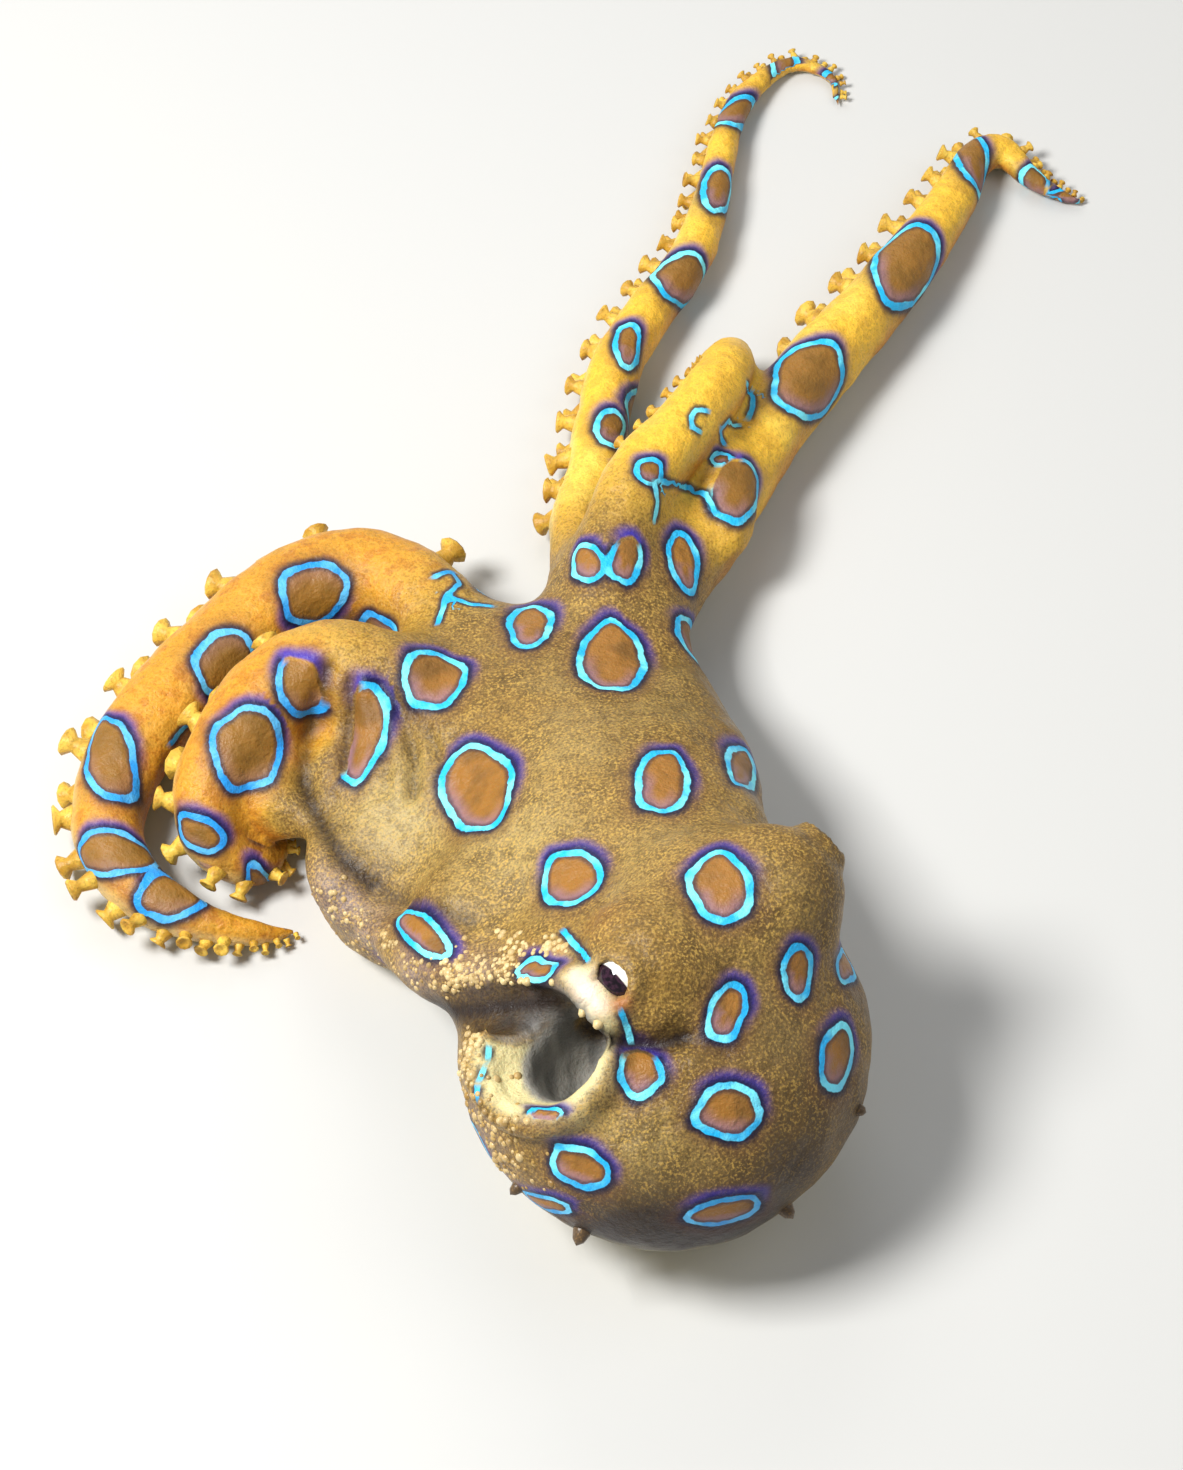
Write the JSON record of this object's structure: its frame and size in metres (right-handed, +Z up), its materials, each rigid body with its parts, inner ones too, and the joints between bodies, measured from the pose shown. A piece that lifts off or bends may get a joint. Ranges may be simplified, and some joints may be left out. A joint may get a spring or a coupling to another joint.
{
  "type": "blue ringed octopus",
  "caption": "Small still octopus with an egg-shaped mantle, raised eye mounds, a broad arm web and curling suckered arms, resting on its belly and arms for display.",
  "frame": {"origin": "centre of the flat under the mantle, at floor level", "axes": "+Y along the body from the mantle toward the arms, +Z up, +X toward the animal's right side as seen from behind"},
  "size_m": [0.0889, 0.1301, 0.0267],
  "materials": {
    "skin_gold": "moist soft skin, golden brown with blue rings",
    "skin_orange": "moist soft skin, orange yellow with blue rings",
    "skin_pale": "moist pale skin",
    "eye_dark": "wet glossy eye"
  },
  "bodies": {
    "root": {"mantle": "skin_gold", "head": "skin_gold", "crown_web": "skin_gold", "arm_right_1_1": "skin_orange", "arm_right_1_2": "skin_orange", "arm_right_1_3": "skin_orange", "arm_right_1_4": "skin_orange", "arm_right_2_1": "skin_orange", "arm_right_2_2": "skin_orange", "arm_right_2_3": "skin_orange", "arm_right_3_1": "skin_orange", "arm_right_3_2": "skin_orange", "arm_right_3_3": "skin_orange", "arm_right_3_4": "skin_orange", "arm_right_4_1": "skin_orange", "arm_right_4_2": "skin_orange", "arm_right_4_3": "skin_orange", "arm_left_1_1": "skin_orange", "arm_left_1_2": "skin_orange", "arm_left_1_3": "skin_orange", "arm_left_1_4": "skin_orange", "arm_left_2_1": "skin_orange", "arm_left_2_2": "skin_orange", "arm_left_2_3": "skin_orange", "arm_left_3_1": "skin_orange", "arm_left_3_2": "skin_orange", "arm_left_4_1": "skin_orange", "arm_left_4_2": "skin_orange", "arm_left_4_3": "skin_orange", "funnel": "skin_pale", "eye_left": "eye_dark", "eye_right": "eye_dark"}
  },
  "joints": []
}
